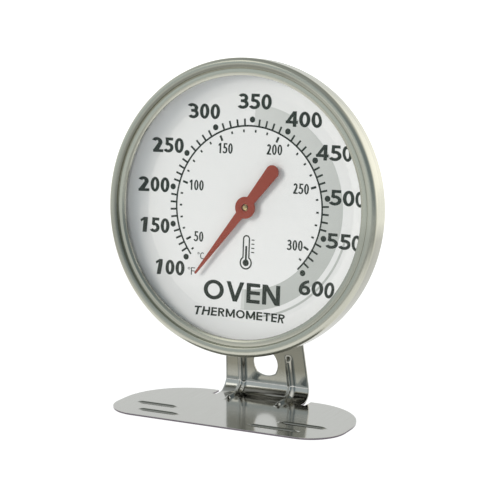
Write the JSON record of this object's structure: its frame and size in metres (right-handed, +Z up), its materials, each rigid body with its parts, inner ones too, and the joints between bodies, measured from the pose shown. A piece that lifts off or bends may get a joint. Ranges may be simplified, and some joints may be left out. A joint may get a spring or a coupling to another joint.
{
  "type": "oven thermometer",
  "caption": "Free-standing dial oven thermometer: round case with a rolled bezel and lens, a bimetal movement turning a red pointer over a printed scale, riveted to a folded sheet stand.",
  "frame": {"origin": "on the surface the thermometer stands on, below the middle of its bounding box", "axes": "+Z up, -Y towards the person reading the dial, +X to that person's right"},
  "size_m": [0.0826, 0.0354, 0.0988],
  "materials": {
    "stand_steel": "bright rolled stainless, faintly brushed",
    "bezel_steel": "satin, spun round the rim",
    "case_steel": "satin, drawn",
    "lens_glass": "clear, polished",
    "dial_enamel": "white, low gloss, printed scale",
    "seal_fibre": "pressed fibre, matte",
    "rivet_steel": "satin",
    "movement_steel": "plain pressed sheet",
    "brass": "turned",
    "bimetal": "rolled strip",
    "staff_steel": "ground",
    "pointer_paint": "brick red, matte"
  },
  "bodies": {
    "housing": {"stand": "stand_steel", "bezel_ring": "bezel_steel", "case_cup": "case_steel", "lens": "lens_glass", "dial_plate": "dial_enamel", "case_seal": "seal_fibre", "stand_rivet_lower": "rivet_steel", "stand_rivet_upper": "rivet_steel", "bridge": "movement_steel", "bridge_rivet_left": "rivet_steel", "bridge_rivet_right": "rivet_steel", "front_bush": "brass", "rear_bush": "brass", "coil_anchor": "movement_steel", "coil_rivet": "rivet_steel", "bimetal_coil": "bimetal"},
    "pointer": {"pointer": "pointer_paint", "pointer_hub": "brass", "staff": "staff_steel", "coil_collet": "brass"}
  },
  "joints": [
    {"name": "pointer_turn", "type": "hinge", "parent": "housing", "child": "pointer", "pos_m": [0, 0.00498, 0.0572], "axis": [0, 0.9968, -0.0805], "range_deg": [-10, 280], "deforming": ["bimetal_coil"]}
  ]
}
